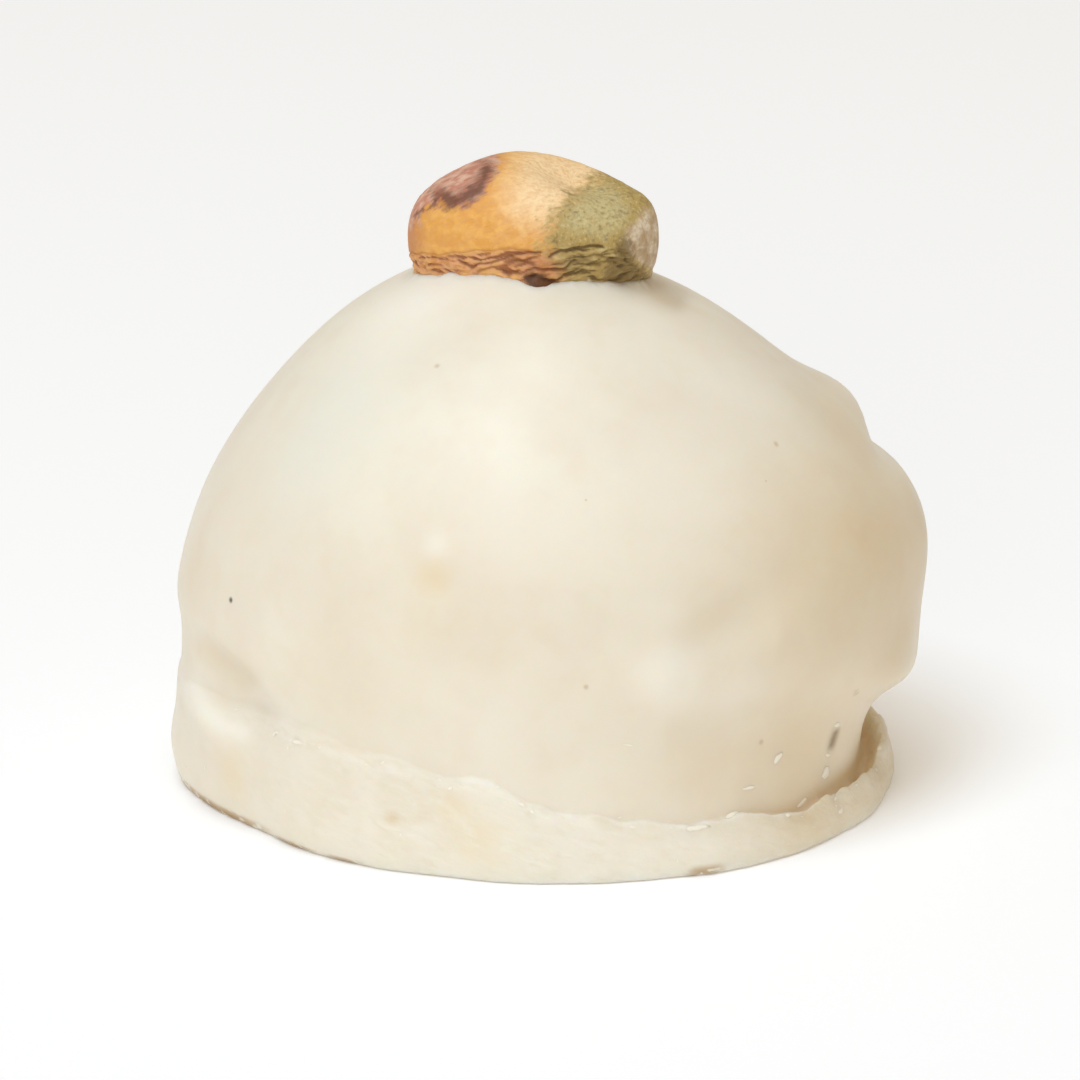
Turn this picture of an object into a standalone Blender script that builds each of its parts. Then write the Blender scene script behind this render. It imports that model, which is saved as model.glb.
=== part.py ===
"""A fig bonbon: a fig dipped in white chocolate, which ran down into a foot as it set, with a pistachio kernel on top.

Metres, +Z up. The origin is the middle of the flat underside. +X is the side where the coating bulges out over a
groove, and -Y is the front. Azimuths run anticlockwise from +X, seen from above.
"""

import math

import bmesh
import bpy
from mathutils import Matrix, Vector

# Sizes of the foot and the dome at eight azimuths, each 45 degrees on from the last:
# right, back right, back, back left, left, front left, front, front right.
# From the bottom up: the edge that touches the table, the foot's round side, its crest, the groove behind
# the crest, the neck of the dome, the overhang over the neck, the flank, the belly and the dome over it.
CONTACT_RADIUS = (0.01730, 0.01735, 0.01740, 0.01770, 0.01880, 0.01725, 0.01730, 0.01760)
FOOT_RADIUS = (0.01730, 0.01750, 0.01765, 0.01830, 0.01925, 0.01790, 0.01740, 0.01760)
FOOT_MIDDLE_Z = (0.0009, 0.0011, 0.0015, 0.0019, 0.0020, 0.0018, 0.0014, 0.0012)
CREST_RADIUS = (0.01705, 0.01715, 0.01725, 0.01780, 0.01885, 0.01780, 0.01722, 0.01715)
CREST_Z = (0.0021, 0.0026, 0.0034, 0.0045, 0.0048, 0.0056, 0.0036, 0.0019)
CREST_ROUNDING = (0.0004, 0.0004, 0.0005, 0.0009, 0.0014, 0.0009, 0.0005, 0.0004)
CREST_RAGGEDNESS = (1.0, 1.0, 1.0, 0.6, 0.1, 0.6, 1.0, 1.0)
GROOVE_INSET = (0.00170, 0.00145, 0.00090, 0.00045, 0.00035, 0.00035, 0.00035, 0.00080)
GROOVE_DROP = (0.00170, 0.00140, 0.00040, -0.00060, -0.00120, -0.00080, -0.00030, 0.00020)
NECK_RADIUS = (0.01590, 0.01605, 0.01650, 0.01725, 0.01835, 0.01745, 0.01690, 0.01630)
NECK_Z = (0.0047, 0.0046, 0.0050, 0.0060, 0.0072, 0.0072, 0.0053, 0.0052)
OVERHANG_RADIUS = (0.01810, 0.01755, 0.01710, 0.01755, 0.01840, 0.01760, 0.01710, 0.01680)
OVERHANG_Z = (0.0052, 0.0058, 0.0068, 0.0076, 0.0084, 0.0084, 0.0072, 0.0078)
FLANK_RADIUS = (0.01855, 0.01795, 0.01750, 0.01790, 0.01860, 0.01785, 0.01730, 0.01725)
FLANK_Z = (0.0065, 0.0074, 0.0084, 0.0088, 0.0094, 0.0094, 0.0088, 0.0088)
BELLY_RADIUS = (0.01800, 0.01790, 0.01780, 0.01810, 0.01865, 0.01790, 0.01740, 0.01750)
BELLY_Z = (0.0104, 0.0104, 0.0104, 0.0104, 0.0104, 0.0106, 0.0108, 0.0106)
DOME_FULLNESS = (1.83, 1.84, 1.88, 1.74, 1.61, 1.82, 2.02, 1.96)
# The side of the groove next to the crest goes down this share of the groove's drop.
OUTER_GROOVE_SHARE = 0.8
AZIMUTH_STEPS = 90

# The dome above its belly is a superellipse, whose centre moves over to the apex.
APEX_Z = 0.0273
APEX_X = -0.0012
APEX_Y = -0.0006
DOME_CONTROLS = 6
ROWS_IN_A_SPAN = 3
FOOT_EDGE_ROUNDING = 0.0004

# Lumps and hollows that the coating takes from the fig under it. Azimuth and tilt are in degrees, the rest in metres:
# azimuth, height, half-length along the side, half-height, tilt of the long way, rise out of the surface.
LUMPS = {
    "right_bulge": (2.0, 0.0134, 0.0085, 0.0042, 0.0, 0.00145),
    "upper_right_ridge": (19.0, 0.0182, 0.0046, 0.0016, -6.0, 0.00090),
    "right_notch": (11.0, 0.0165, 0.0044, 0.0008, 0.0, -0.00045),
    "front_right_bulge": (-38.0, 0.0150, 0.0060, 0.0040, 20.0, 0.00055),
    "front_right_valley": (-57.0, 0.0128, 0.0050, 0.0014, 24.0, -0.00042),
    "front_right_knob": (-71.0, 0.0102, 0.0030, 0.0017, 8.0, 0.00036),
    "front_left_roll": (202.0, 0.0050, 0.0036, 0.0012, -14.0, 0.00075),
    "front_left_valley": (208.0, 0.0078, 0.0038, 0.0012, -18.0, -0.00065),
    "front_shoulder": (-92.0, 0.0176, 0.0110, 0.0032, 0.0, 0.00030),
    "upper_left_rise": (178.0, 0.0248, 0.0060, 0.0030, 0.0, 0.00040),
    "back_bulge": (112.0, 0.0120, 0.0075, 0.0046, 12.0, 0.00070),
    "back_valley": (76.0, 0.0098, 0.0044, 0.0015, -24.0, -0.00050),
}

# Where the foot's edge stands in or out of its round, and where its crest is higher or lower:
# azimuth and half-width in degrees, and how far.
EDGE_NICKS = ((207.0, 14.0, -0.00065), (-48.0, 9.0, 0.00010), (58.0, 12.0, -0.00030), (128.0, 10.0, 0.00025))
CREST_RISES = (
    (237.0, 13.0, 0.00050),
    (259.0, 6.0, 0.00060),
    (273.0, 5.0, -0.00035),
    (287.0, 6.0, 0.00030),
    (301.0, 5.0, 0.00030),
    (340.0, 7.0, 0.00040),
)

# The foot's torn upper edge and its uneven rim: waves round the foot as count, height and phase.
CREST_WAVES = ((7, 0.00022, 0.6), (13, 0.00016, 2.1), (23, 0.00010, 4.0))
RIM_WAVES = ((5, 0.00008, 1.3), (11, 0.00006, 0.2), (19, 0.00004, 2.9))

# The pistachio kernel lies across the top, its right end a little nearer the front.
NUT_HALF_LENGTH = 0.00620
NUT_HALF_DEPTH = 0.00425
NUT_HALF_HEIGHT = 0.00425
NUT_CENTRE = Vector((-0.00078, -0.0002, 0.02818))
NUT_TURN = math.radians(-5.0)
# Where the kernel is pressed flat or swollen: direction from its middle, spread as a share of its size, and rise.
NUT_LUMPS = {
    "pressed_top": (Vector((0.47, -0.15, 0.87)), 0.54, -0.00158),
    "blunt_end": (Vector((0.84, -0.10, -0.52)), 0.34, 0.00034),
    "slim_shoulder": (Vector((-0.58, 0.0, 0.81)), 0.40, -0.00040),
    "full_end": (Vector((-0.80, -0.15, -0.58)), 0.34, 0.00052),
    "full_shoulder": (Vector((0.88, -0.05, 0.47)), 0.30, 0.00042),
    "torn_knob": (Vector((0.05, -0.93, -0.35)), 0.11, 0.00080),
    "torn_flap": (Vector((0.12, -0.94, -0.32)), 0.26, 0.00035),
}
NUT_WRINKLE_DEPTH = 0.00013
NUT_WRINKLES = 15
NUT_WRINKLE_TWIST = 2.2
NUT_WRINKLE_TOP = 0.35
NUT_WRINKLE_FADE = 0.6
NUT_SEGMENTS = 44
NUT_RINGS = 24
SEAT_GAP = 0.0003

CHOCOLATE_COLOUR = (0.83, 0.75, 0.59, 1.0)
CHOCOLATE_ROUGHNESS = 0.42
KERNEL_COLOUR = (0.60, 0.37, 0.14, 1.0)
KERNEL_ROUGHNESS = 0.6


def clear_scene():
    for thing in list(bpy.data.objects):
        bpy.data.objects.remove(thing)


def make_collection(name):
    collection = bpy.data.collections.new(name)
    bpy.context.scene.collection.children.link(collection)
    return collection


def make_material(name, colour, roughness):
    material = bpy.data.materials.new(name)
    material.use_nodes = True
    shader = material.node_tree.nodes["Principled BSDF"]
    shader.inputs["Base Color"].default_value = colour
    shader.inputs["Roughness"].default_value = roughness
    shader.inputs["Metallic"].default_value = 0.0
    return material


def make_object(name, bm, collection, material):
    mesh = bpy.data.meshes.new(name)
    bm.to_mesh(mesh)
    bm.free()
    mesh.shade_smooth()
    mesh.materials.append(material)
    thing = bpy.data.objects.new(name, mesh)
    collection.objects.link(thing)
    return thing


def around(values, azimuth):
    """A size at this azimuth, on a smooth closed curve through its values round the bonbon."""
    turn = azimuth / math.tau * len(values)
    first = math.floor(turn)
    share = turn - first
    a, b, c, d = (values[(first + step) % len(values)] for step in (-1, 0, 1, 2))
    return b + 0.5 * share * (c - a + share * (2 * a - 5 * b + 4 * c - d + share * (3 * (b - c) + d - a)))


def turn_from(azimuth, degrees):
    """The turn from an azimuth in degrees to this one, the short way round."""
    return (azimuth - math.radians(degrees) + math.pi) % math.tau - math.pi


def waves(table, azimuth):
    return sum(height * math.sin(count * azimuth + phase) for count, height, phase in table)


def spline_point(a, b, c, d, share):
    """A point of a uniform cubic B-spline, which stays inside its control points."""
    weights = (
        (1 - share) ** 3,
        3 * share**3 - 6 * share**2 + 4,
        -3 * share**3 + 3 * share**2 + 3 * share + 1,
        share**3,
    )
    return sum((point * weight for point, weight in zip((a, b, c, d), weights)), Vector((0, 0))) / 6


def rises(table, azimuth):
    """How far the places in a table stand out at this azimuth."""
    total = 0.0
    for middle, half_width, height in table:
        total += height * math.exp(-((turn_from(azimuth, middle) / math.radians(half_width)) ** 2))
    return total


def section_controls(azimuth):
    """Control points (radius, height) of the side, from the flat underside to the apex."""
    rim = waves(RIM_WAVES, azimuth) + rises(EDGE_NICKS, azimuth)
    contact = around(CONTACT_RADIUS, azimuth) + rim
    crest_radius = around(CREST_RADIUS, azimuth) + rim
    crest_z = around(CREST_Z, azimuth) + rises(CREST_RISES, azimuth)
    crest_z += waves(CREST_WAVES, azimuth) * around(CREST_RAGGEDNESS, azimuth)
    crest_rounding = around(CREST_ROUNDING, azimuth)
    groove_inset = around(GROOVE_INSET, azimuth)
    groove_drop = around(GROOVE_DROP, azimuth)
    belly_radius = around(BELLY_RADIUS, azimuth)
    belly_z = around(BELLY_Z, azimuth)
    controls = [
        (contact - 4 * FOOT_EDGE_ROUNDING, 0.0),
        (contact - 2 * FOOT_EDGE_ROUNDING, 0.0),
        (contact - FOOT_EDGE_ROUNDING / 2, 0.0),
        (contact, FOOT_EDGE_ROUNDING / 4),
        (around(FOOT_RADIUS, azimuth) + rim, around(FOOT_MIDDLE_Z, azimuth)),
        (crest_radius, crest_z - crest_rounding),
        (crest_radius - groove_inset / 4, crest_z + crest_rounding / 4),
        (crest_radius - groove_inset / 2, crest_z - groove_drop * OUTER_GROOVE_SHARE),
        (crest_radius - groove_inset, crest_z - groove_drop),
        (around(NECK_RADIUS, azimuth), around(NECK_Z, azimuth)),
        (around(OVERHANG_RADIUS, azimuth), around(OVERHANG_Z, azimuth)),
        (around(FLANK_RADIUS, azimuth), around(FLANK_Z, azimuth)),
        (belly_radius, belly_z),
    ]
    fullness = around(DOME_FULLNESS, azimuth)
    for step in range(1, DOME_CONTROLS + 1):
        angle = step / DOME_CONTROLS * math.pi / 2
        across = math.cos(angle) ** (2 / fullness) if step < DOME_CONTROLS else 0.0
        up = math.sin(angle) ** (2 / fullness)
        controls.append((belly_radius * across, belly_z + (APEX_Z - belly_z) * up))
    last_radius, last_z = controls[-2]
    controls.append((-last_radius, last_z))
    return [Vector(point) for point in controls]


def section_points(azimuth):
    """Points (radius, height) of the side, the same number in every span between two controls."""
    controls = section_controls(azimuth)
    points = []
    for first in range(len(controls) - 3):
        for row in range(ROWS_IN_A_SPAN):
            points.append(spline_point(*controls[first : first + 4], row / ROWS_IN_A_SPAN))
    points.append(spline_point(*controls[-4:], 1.0))
    return points


def lump_rise(azimuth, radius, z):
    """How far the lumps and hollows lift the coating at this place."""
    rise = 0.0
    for lump_azimuth, lump_z, half_length, half_height, tilt, lump_height in LUMPS.values():
        along = turn_from(azimuth, lump_azimuth) * radius
        up = z - lump_z
        lean = math.radians(tilt)
        along, up = (
            along * math.cos(lean) + up * math.sin(lean),
            up * math.cos(lean) - along * math.sin(lean),
        )
        rise += lump_height * math.exp(-((along / half_length) ** 2) - (up / half_height) ** 2)
    return rise


def ring_of_points(azimuth):
    """One section of the coating in space, lumps included."""
    flat = section_points(azimuth)
    outward = Vector((math.cos(azimuth), math.sin(azimuth), 0.0))
    apex_shift = Vector((APEX_X, APEX_Y, 0.0))
    belly_z = around(BELLY_Z, azimuth)
    found = []
    for index, (radius, z) in enumerate(flat):
        before = flat[max(index - 1, 0)]
        after = flat[min(index + 1, len(flat) - 1)]
        run, climb = after - before
        length = math.hypot(run, climb)
        normal = (outward * climb - Vector((0.0, 0.0, run))) / length
        share = min(max((z - belly_z) / (APEX_Z - belly_z), 0.0), 1.0)
        point = outward * radius + Vector((0.0, 0.0, z)) + apex_shift * share * share * (3 - 2 * share)
        if z > 0.0 and radius > 0.0:
            point += normal * lump_rise(azimuth, radius, z)
        found.append(point)
    return found


def make_coating_mesh():
    """A loft of the sections, closed by the flat underside and a fan at the apex."""
    bm = bmesh.new()
    columns = []
    for step in range(AZIMUTH_STEPS):
        points = ring_of_points(math.tau * step / AZIMUTH_STEPS)
        columns.append([bm.verts.new(point) for point in points[:-1]])
    apex = bm.verts.new(points[-1])
    rows = len(columns[0])
    for column, following in zip(columns, columns[1:] + columns[:1]):
        for row in range(rows - 1):
            bm.faces.new((column[row], following[row], following[row + 1], column[row + 1]))
        bm.faces.new((column[-1], following[-1], apex))
    bm.faces.new([column[0] for column in reversed(columns)])
    bm.normal_update()
    return bm


def nut_rise(direction):
    """How far the kernel's skin stands out of its ellipsoid in this direction from its middle."""
    rise = 0.0
    for middle, spread, height in NUT_LUMPS.values():
        rise += height * math.exp(-((direction - middle).length_squared / spread**2))
    # Lengthwise wrinkles, deep low on the sides and gone at the top and the ends.
    girth = math.atan2(direction.z, direction.y)
    low = min(1.0, max(0.0, (NUT_WRINKLE_TOP - direction.z) / NUT_WRINKLE_FADE))
    ripple = math.sin(NUT_WRINKLES * girth + NUT_WRINKLE_TWIST * direction.x)
    return rise + NUT_WRINKLE_DEPTH * low * (1 - direction.x**2) * ripple


def make_nut_mesh(grow=0.0):
    """The kernel in its own axes, its length along X. grow is added all round."""
    bm = bmesh.new()
    bmesh.ops.create_uvsphere(bm, u_segments=NUT_SEGMENTS, v_segments=NUT_RINGS, radius=1.0)
    # The sphere's poles go to the kernel's two ends.
    bm.transform(Matrix.Rotation(math.pi / 2, 4, "Y"))
    for vertex in bm.verts:
        direction = vertex.co.normalized()
        lift = grow + nut_rise(direction)
        vertex.co = Vector(
            (
                direction.x * (NUT_HALF_LENGTH + lift),
                direction.y * (NUT_HALF_DEPTH + lift),
                direction.z * (NUT_HALF_HEIGHT + lift),
            )
        )
    bm.normal_update()
    return bm


def place_nut(thing):
    thing.location = NUT_CENTRE
    thing.rotation_euler = (0.0, 0.0, NUT_TURN)


def cut_seat(coating, cutter):
    seat = coating.modifiers.new("seat", "BOOLEAN")
    seat.operation = "DIFFERENCE"
    seat.solver = "EXACT"
    seat.object = cutter


def build():
    clear_scene()
    bonbon = make_collection("fig_bonbon")
    cutters = make_collection("cutters")
    chocolate = make_material("white_chocolate", CHOCOLATE_COLOUR, CHOCOLATE_ROUGHNESS)
    kernel = make_material("pistachio_skin", KERNEL_COLOUR, KERNEL_ROUGHNESS)

    coating = make_object("coating", make_coating_mesh(), bonbon, chocolate)
    nut = make_object("pistachio", make_nut_mesh(), bonbon, kernel)
    place_nut(nut)

    cutter = make_object("seat_cutter", make_nut_mesh(SEAT_GAP), cutters, kernel)
    place_nut(cutter)
    cutter.hide_render = True
    cutter.display_type = "WIRE"
    cut_seat(coating, cutter)


build()
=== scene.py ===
"""The looks of a fig bonbon: white chocolate run down into a torn foot, and a pistachio kernel on top.

Metres, +Z up. +X is to the right, where the coating bulges out over a groove, and -Y is the front.
Azimuths run anticlockwise from +X, seen from above. Pixels are those of the 1080 x 1080 frame.
"""

import itertools
import random
from math import atan2, cos, pi, radians, sin, tau

import bmesh
import bpy
import numpy as np
from mathutils import Color, Matrix, Vector
from mathutils.bvhtree import BVHTree


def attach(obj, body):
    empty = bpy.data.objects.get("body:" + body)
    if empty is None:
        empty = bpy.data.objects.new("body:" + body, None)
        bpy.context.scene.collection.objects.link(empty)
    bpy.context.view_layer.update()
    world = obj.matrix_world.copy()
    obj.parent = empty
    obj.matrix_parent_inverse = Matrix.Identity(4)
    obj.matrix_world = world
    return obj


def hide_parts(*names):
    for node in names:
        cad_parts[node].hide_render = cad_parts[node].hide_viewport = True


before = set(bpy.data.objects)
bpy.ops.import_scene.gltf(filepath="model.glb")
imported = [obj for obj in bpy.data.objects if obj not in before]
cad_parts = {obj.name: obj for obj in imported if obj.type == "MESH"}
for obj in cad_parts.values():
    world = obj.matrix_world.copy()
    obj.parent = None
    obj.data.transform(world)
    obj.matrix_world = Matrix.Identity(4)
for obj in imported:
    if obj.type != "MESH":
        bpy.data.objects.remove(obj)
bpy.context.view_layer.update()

MM = 0.001

# The camera stands in front of the bonbon, a little above it.
CAMERA_ELEVATION = 17.0
CAMERA_DISTANCE = 0.40
CAMERA_AIM = Vector((-0.00045, 0.0, 0.0122))
VIEW_WIDTH = 0.054
SENSOR_WIDTH = 36.0
FRAME_PIXELS = 1080
PIXELS_PER_MM = FRAME_PIXELS / VIEW_WIDTH * MM

# Sizes of the foot and the dome at eight azimuths, each 45 degrees on from the last:
# right, back right, back, back left, left, front left, front, front right.
# From the bottom up: the edge on the floor, the foot's side and its crest, the groove behind the crest,
# and the dome's neck, overhang, flank and belly, with how full it is over them.
CONTACT_RADIUS = (0.01730, 0.01735, 0.01740, 0.01770, 0.01880, 0.01725, 0.01730, 0.01760)
FOOT_RADIUS = (0.01730, 0.01750, 0.01765, 0.01830, 0.01925, 0.01790, 0.01740, 0.01760)
FOOT_MIDDLE_Z = (0.0009, 0.0011, 0.0015, 0.0019, 0.0020, 0.0018, 0.0014, 0.0012)
CREST_RADIUS = (0.01705, 0.01715, 0.01725, 0.01780, 0.01885, 0.01780, 0.01722, 0.01715)
CREST_Z = (0.0021, 0.0026, 0.0034, 0.0045, 0.0048, 0.0056, 0.0036, 0.0019)
CREST_ROUNDING = (0.0004, 0.0004, 0.0005, 0.0009, 0.0014, 0.0009, 0.0005, 0.0004)
CREST_RAGGEDNESS = (1.0, 1.0, 1.0, 0.6, 0.1, 0.6, 1.0, 1.0)
FOOT_TEXTURE = (1.0, 1.0, 1.0, 0.6, 0.0, 0.5, 1.0, 1.0)
GROOVE_INSET = (0.00170, 0.00145, 0.00090, 0.00045, 0.00035, 0.00035, 0.00035, 0.00080)
GROOVE_DROP = (0.00170, 0.00140, 0.00040, -0.00060, -0.00120, -0.00080, -0.00030, 0.00020)
NECK_RADIUS = (0.01590, 0.01605, 0.01650, 0.01725, 0.01835, 0.01745, 0.01690, 0.01630)
NECK_Z = (0.0047, 0.0046, 0.0050, 0.0060, 0.0072, 0.0072, 0.0053, 0.0052)
OVERHANG_RADIUS = (0.01810, 0.01755, 0.01710, 0.01755, 0.01840, 0.01760, 0.01710, 0.01680)
OVERHANG_Z = (0.0052, 0.0058, 0.0068, 0.0076, 0.0084, 0.0084, 0.0072, 0.0078)
FLANK_RADIUS = (0.01855, 0.01795, 0.01750, 0.01790, 0.01860, 0.01785, 0.01730, 0.01725)
FLANK_Z = (0.0065, 0.0074, 0.0084, 0.0088, 0.0094, 0.0094, 0.0088, 0.0088)
BELLY_RADIUS = (0.01800, 0.01790, 0.01780, 0.01810, 0.01865, 0.01790, 0.01740, 0.01750)
BELLY_Z = (0.0104, 0.0104, 0.0104, 0.0104, 0.0104, 0.0106, 0.0108, 0.0106)
DOME_FULLNESS = (1.83, 1.84, 1.88, 1.74, 1.61, 1.82, 2.02, 1.96)
# The side of the groove next to the crest goes down this share of the groove's drop.
OUTER_GROOVE_SHARE = 0.8

# The dome above its belly is a superellipse, whose centre moves over to the apex.
APEX_Z = 0.0273
APEX_X = -0.0012
APEX_Y = -0.0006
DOME_CONTROLS = 6
FOOT_EDGE_ROUNDING = 0.0004

# Lumps and hollows that the coating takes from the fig under it: azimuth in degrees, height, half-length,
# half-height, tilt of the long way in degrees, and rise out of the surface.
LUMPS = {
    "right_bulge": (2, 0.0134, 0.0085, 0.0042, 0, 0.00145),
    "upper_right_ridge": (19, 0.0182, 0.0046, 0.0016, -6, 0.00090),
    "right_notch": (11, 0.0165, 0.0044, 0.0008, 0, -0.00045),
    "front_right_bulge": (-38, 0.0150, 0.0060, 0.0040, 20, 0.00055),
    "front_right_valley": (-57, 0.0128, 0.0050, 0.0014, 24, -0.00042),
    "front_right_knob": (-71, 0.0102, 0.0030, 0.0017, 8, 0.00036),
    "front_left_roll": (202, 0.0050, 0.0036, 0.0012, -14, 0.00075),
    "front_left_valley": (208, 0.0078, 0.0038, 0.0012, -18, -0.00065),
    "front_shoulder": (-92, 0.0176, 0.0110, 0.0032, 0, 0.00030),
    "upper_left_rise": (178, 0.0248, 0.0060, 0.0030, 0, 0.00040),
    "back_bulge": (112, 0.0120, 0.0075, 0.0046, 12, 0.00070),
    "back_valley": (76, 0.0098, 0.0044, 0.0015, -24, -0.00050),
}

# Where the foot's edge stands in or out of its round, and where its crest is higher or lower:
# azimuth and half-width in degrees, and how far.
EDGE_NICKS = ((207.0, 14.0, -0.00065), (-48.0, 9.0, 0.00010), (58.0, 12.0, -0.00030), (128.0, 10.0, 0.00025))
CREST_RISES = (
    (237, 13, 0.00050), (259, 6, 0.00060), (273, 5, -0.00035),
    (287, 6, 0.00030), (301, 5, 0.00030), (340, 7, 0.00040),
)

# The foot's torn upper edge and its uneven rim: waves round the foot as count, height and phase.
CREST_WAVES = ((7, 0.00022, 0.6), (13, 0.00016, 2.1), (23, 0.00010, 4.0))
RIM_WAVES = ((5, 0.00008, 1.3), (11, 0.00006, 0.2), (19, 0.00004, 2.9))

# The fine mesh of the coating: columns round it, and rows in each span from the underside to the apex.
COLUMNS = 500
SPAN_ROWS = (1, 3, 12, 14, 8, 8, 6, 9, 9, 8, 8, 10, 12, 12, 14, 28, 14)

# Places along a section, counted in controls from the middle of the underside.
CREST_PLACE = 6.0
FOOT_TOP = 6.2
DOME_START = 7.9
NECK_PLACE = 9.0
FLANK_PLACE = 10.4
SHOULDER_PLACE = 14.5

# The pistachio kernel lies across the top, its right end a little nearer the front: half its length, depth
# and height, its middle and its turn.
NUT_HALF_SIZE = (0.00620, 0.00425, 0.00425)
NUT_CENTRE = Vector((-0.00078, -0.0002, 0.02818))
NUT_TURN = radians(-5.0)
# Where the kernel is pressed or swollen: direction from its middle, spread as a share of its size, and rise.
NUT_LUMPS = {
    "pressed_top": ((0.47, -0.15, 0.87), 0.54, -0.00158),
    "blunt_end": ((0.84, -0.10, -0.52), 0.34, 0.00034),
    "slim_shoulder": ((-0.58, 0.0, 0.81), 0.40, -0.00040),
    "full_end": ((-0.80, -0.15, -0.58), 0.34, 0.00052),
    "full_shoulder": ((0.88, -0.05, 0.47), 0.30, 0.00042),
    "torn_knob": ((0.05, -0.93, -0.35), 0.11, 0.00080),
    "torn_flap": ((0.12, -0.94, -0.32), 0.26, 0.00035),
}
# The middle of the torn knob, low in front, where the coating leaves the skin bare.
KNOB_PLACE = (-0.0005, -0.0047, 0.0266)
NUT_SEGMENTS = 400
NUT_RINGS = 230

# Dents and bumps in the smooth coating: pixel across and down, radius and rise in millimetres.
DENTS = {
    "dimple": (433, 580, 0.8, -0.12),
    "dimple_brow": (436, 546, 0.75, 0.1),
    "speck_left": (231, 600, 0.22, -0.07),
    "pit_top": (437, 366, 0.22, -0.06),
    "pit_right": (776, 444, 0.26, -0.06),
    "pit_low": (586, 687, 0.24, -0.06),
    "pit_foot": (392, 819, 0.4, -0.09),
    "pit_low_right": (761, 742, 0.26, -0.08),
    "knob": (660, 672, 1.1, 0.12),
    "dimple_knob_right": (687, 684, 0.5, -0.1),
    "dimple_knob_left": (630, 692, 0.5, -0.07),
    "blister_upper": (780, 638, 0.55, 0.09),
    "blister_lower": (814, 633, 0.5, 0.09),
    "slot": (833, 740, 0.38, -0.13),
}

# Small dark specks, and pinholes darkened with painted shade: pixel across and down, and radius in
# millimetres.
DARK_SPECKS = {"left": (231, 600, 0.17)}
PINHOLES = {
    "top": (437, 366, 0.17),
    "middle": (586, 500, 0.07),
    "right": (776, 444, 0.18),
    "right_low": (766, 481, 0.07),
    "low": (586, 687, 0.15),
    "low_right": (761, 742, 0.17),
}

# Painted warm shade on the coating, where it turns from the light, in its valleys and beside the kernel:
# pixel across and down, radius in millimetres, and strength.
WARM_SHADE_PLACES = {
    "bulge": (900, 560, 4.6, 0.34),
    "bulge_side": (840, 530, 6, 0.3),
    "ridge": (845, 425, 2.6, 0.3),
    "low_right": (800, 752, 3.4, 0.26),
    "left_edge": (192, 575, 2.2, 0.3),
    "left_low": (335, 695, 3, 0.16),
    "middle_left": (425, 612, 3.2, 0.14),
    "far_rim": (922, 520, 2, 0.35),
    "right_low": (900, 650, 2.2, 0.35),
    "foot_right": (800, 822, 2.6, 0.28),
    "right_side": (812, 660, 7.5, 0.22),
    "low_fold": (690, 788, 2.4, 0.2),
    "beside_nut": (662, 296, 1.2, 0.4),
    "pit_foot": (392, 819, 0.3, 0.55),
}
# The same painted warm shade at the back: azimuth in degrees, height and radius in millimetres, and strength.
WARM_SHADE_PLACES_BEHIND = {
    "back_bulge": (100, 13, 4.5, 0.3),
    "back_valley": (76, 9.5, 3, 0.3),
    "back_low": (140, 8.5, 3.5, 0.2),
    "back_high": (60, 20, 3, 0.2),
}
COOL_PLACES = {"upper_left": (345, 400, 4.2, 0.8), "left": (300, 470, 3, 0.5)}
# Painted light: paler patches and highlights where light falls on the coating, its knob and the brow over the
# dimple.
PAINTED_LIGHT_PLACES = {
    "front_right_knob": (672, 680, 1.6, 0.8),
    "low_right": (738, 690, 2, 0.45),
    "front": (505, 512, 2.8, 0.35),
    "front_right": (665, 485, 4, 0.45),
    "front_right_low": (660, 640, 1.6, 0.4),
    "upper_right": (745, 390, 3.4, 0.5),
    "top_left": (410, 300, 2.8, 0.8),
    "low_front": (500, 735, 2.4, 0.4),
    "foot_front": (505, 820, 2.2, 0.45),
    "foot_front_right": (665, 845, 2.6, 0.4),
    "brow": (436, 547, 0.7, 0.6),
}
YELLOW_PLACES = {
    "dimple": (433, 578, 0.8, 0.55),
    "foot_left": (232, 775, 1.2, 0.55),
    "foot_middle": (478, 842, 1.4, 0.38),
    "foot_crest": (452, 805, 0.8, 0.45),
}

# The same painted warm shade along a line: pixels along it, half-width in pixels and strength.
WARM_SHADE_STREAKS = {
    "left_valley": (((204, 646), (224, 662), (244, 680)), 17, 0.24),
    "notch": (((816, 378), (840, 398), (855, 418), (866, 438)), 7, 0.2),
    "valley": (((650, 642), (690, 630), (730, 604), (775, 572), (820, 556)), 24, 0.26),
    "low_fold": (((700, 700), (760, 716), (830, 712)), 20, 0.1),
    "lip": (((884, 770), (868, 800), (836, 822)), 14, 0.24),
    "below_shoulder": (((440, 640), (520, 668), (600, 690)), 26, 0.08),
}
# Painted light along lines: a highlight on the roll at the left, the end of the valley over it, and the wall
# over the groove.
PAINTED_LIGHT_STREAKS = {
    "roll": (((194, 688), (204, 710), (222, 725), (242, 732)), 10, 0.9),
    "wall": (((866, 712), (858, 732), (844, 762)), 7, 0.55),
    "valley_end": (((262, 692), (274, 706), (286, 720)), 9, 0.4),
}
# Painted brown shade: in the slot, the kernel's shadow beside it, and in a pit on the right.
SHADE_BROWN_STREAKS = {
    "slot": (((836, 732), (833, 740), (831, 747)), 3.4, 0.8),
    "beside_nut": (((626, 282), (648, 289), (676, 300)), 12, 0.3),
    "pit_right": (((856, 692), (856, 694)), 1.6, 0.4),
}
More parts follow.
